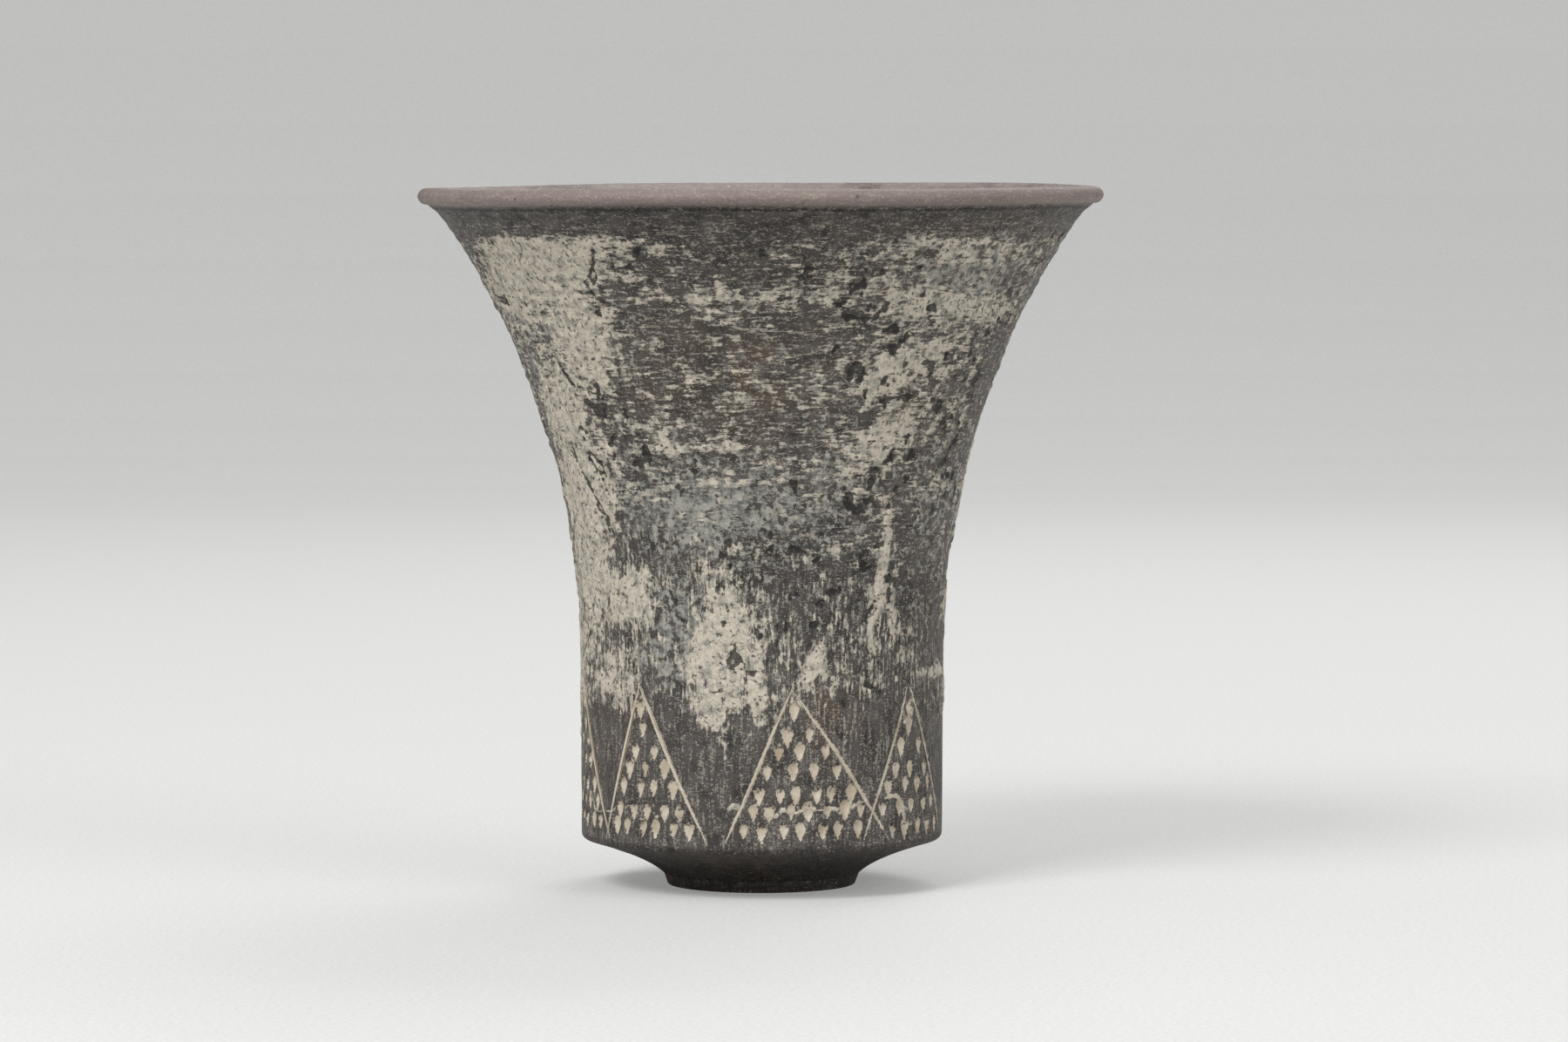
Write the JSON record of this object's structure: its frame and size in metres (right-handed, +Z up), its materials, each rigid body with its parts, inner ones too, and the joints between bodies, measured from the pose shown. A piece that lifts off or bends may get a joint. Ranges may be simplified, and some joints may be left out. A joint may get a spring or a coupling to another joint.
{
  "type": "pottery beaker",
  "caption": "Flaring clay drinking beaker on a small disc foot, with a rolled lip and a band of incised triangles filled with stamped leaf marks and white paste.",
  "frame": {"origin": "centre of the foot's underside, on the surface that the beaker stands on", "axes": "+Z up through the mouth, -Y towards the front, which is the side that the picture shows, +X to the viewer's right"},
  "size_m": [0.1566, 0.1566, 0.16],
  "materials": {
    "burnished_clay": "dark grey-brown smoothed clay under patches of pale lime crust, dull with a faint sheen where bare",
    "rim_clay": "worn pinkish grey-brown clay with pale specks, dull",
    "base_clay": "dark grey clay with fine turning lines, dusty brown at the foot",
    "white_paste": "chalky cream-white paste, rough and crumbling"
  },
  "bodies": {
    "root": {"foot_disc": "base_clay", "base_bowl": "base_clay", "decorated_wall": "burnished_clay", "waist_wall": "burnished_clay", "flaring_wall": "burnished_clay", "mouth_wall": "burnished_clay", "rolled_lip": "rim_clay", "line_paste_1": "white_paste", "line_paste_2": "white_paste", "line_paste_3": "white_paste", "line_paste_4": "white_paste", "line_paste_5": "white_paste"}
  },
  "joints": []
}
